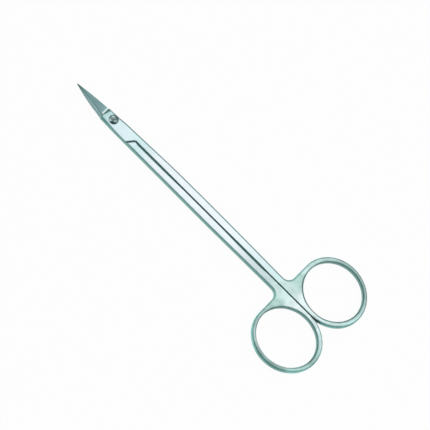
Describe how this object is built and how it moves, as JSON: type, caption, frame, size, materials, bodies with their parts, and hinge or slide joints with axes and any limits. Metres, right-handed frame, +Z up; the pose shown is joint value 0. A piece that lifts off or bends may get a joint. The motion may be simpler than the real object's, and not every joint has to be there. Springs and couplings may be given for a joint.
{
  "type": "nail scissors",
  "caption": "Slim long-shanked steel nail scissors with two round finger rings, a screwed lap joint and short pointed, slightly curved blades.",
  "frame": {"origin": "middle of the closed scissors' footprint, on the side that lies on the table", "axes": "+Y along the shanks towards the blade tips, +Z up through the screw from the table side to the head, +X towards the upper half's finger ring"},
  "size_m": [0.0592, 0.1599, 0.0036],
  "materials": {
    "upper_half_steel": "satin",
    "lower_half_steel": "satin",
    "screw_steel": "satin"
  },
  "bodies": {
    "lower": {"lower_half": "lower_half_steel", "pivot_screw": "screw_steel"},
    "upper": {"upper_half": "upper_half_steel"}
  },
  "joints": [
    {"name": "open_close", "type": "hinge", "parent": "lower", "child": "upper", "pos_m": [0, 0.05754, 0.0018], "axis": [0, 0, 1], "range_deg": [0, 145]}
  ]
}
